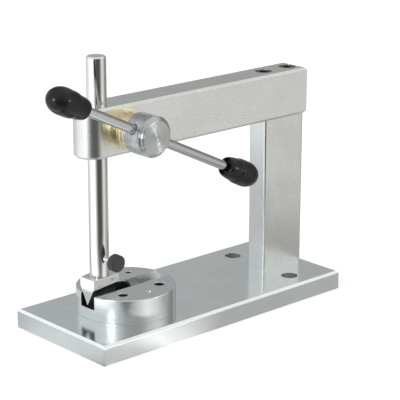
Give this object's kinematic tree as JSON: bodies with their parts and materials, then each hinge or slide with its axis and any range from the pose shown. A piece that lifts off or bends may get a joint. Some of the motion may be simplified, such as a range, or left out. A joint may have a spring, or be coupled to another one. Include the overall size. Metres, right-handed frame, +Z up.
{
  "type": "bench rack press",
  "caption": "Small hand rack press: a long round-nosed arm on a flat pillar and base plate, a rack ram driven by a sliding cross bar, a V bending punch and a turning anvil disc.",
  "frame": {"origin": "middle of the base plate's underside", "axes": "+Z up, +X along the base plate from the ram towards the pillar, -Y towards the handle side"},
  "size_m": [0.2263, 0.085, 0.1745],
  "materials": {
    "ground_steel": "satin ground steel, clear zinc",
    "satin_steel": "satin milled steel",
    "bright_steel": "polished steel",
    "turned_steel": "turned steel",
    "dark_steel": "blackened steel",
    "brass": "turned brass",
    "black_plastic": "gloss moulded plastic",
    "black_knurl": "moulded and knurled",
    "nylon": "natural nylon"
  },
  "bodies": {
    "frame": {"base_plate": "ground_steel", "pillar": "satin_steel", "arm": "satin_steel", "arm_screws": "dark_steel", "base_screws": "dark_steel", "pillar_dowels": "bright_steel", "anvil_pivot_pin": "turned_steel", "front_bush": "brass", "rear_bush": "brass", "drag_plug": "nylon", "drag_screw": "dark_steel"},
    "anvil": {"anvil_disc": "turned_steel"},
    "ram": {"ram": "bright_steel"},
    "punch": {"bending_punch": "satin_steel"},
    "thumb": {"thumb_screw": "turned_steel", "thumb_knob": "black_knurl"},
    "pinion": {"pinion_shaft": "turned_steel", "pinion_washer": "bright_steel", "retaining_ring": "dark_steel", "handle_hub": "turned_steel", "hub_pin": "bright_steel", "bar_clamp_screw": "dark_steel"},
    "handle": {"handle_bar": "bright_steel", "knob_long_end": "black_plastic", "knob_short_end": "black_plastic", "insert_long_end": "dark_steel", "insert_short_end": "dark_steel"}
  },
  "joints": [
    {"name": "pinion_spin", "type": "hinge", "parent": "frame", "child": "pinion", "pos_m": [-0.0544, 0, 0.1298], "axis": [0, 1, 0], "range_deg": [-6.3, 254.6]},
    {"name": "ram_slide", "type": "slide", "parent": "frame", "child": "ram", "axis": [0, 0, 1], "range_m": [-0.001, 0.04]},
    {"name": "handle_shift", "type": "slide", "parent": "pinion", "child": "handle", "axis": [0.898, 0, -0.4399], "range_m": [-0.057, 0.037]},
    {"name": "punch_turn", "type": "hinge", "parent": "ram", "child": "punch", "pos_m": [-0.0684, 0, 0.0385], "axis": [0, 0, 1], "range_deg": [-4, 4]},
    {"name": "thumb_screw_turn", "type": "hinge", "parent": "ram", "child": "thumb", "pos_m": [-0.0684, -0.0135, 0.0502], "axis": [0, 1, 0], "range_deg": [-360, 0]},
    {"name": "anvil_turn", "type": "hinge", "parent": "frame", "child": "anvil", "pos_m": [-0.04765, 0, 0.0125], "axis": [0, 0, 1], "range_deg": [-1, 1]}
  ],
  "couplings": [
    {"joint": "ram_slide", "follows": "pinion_spin", "m_per_rad": 0.009}
  ]
}
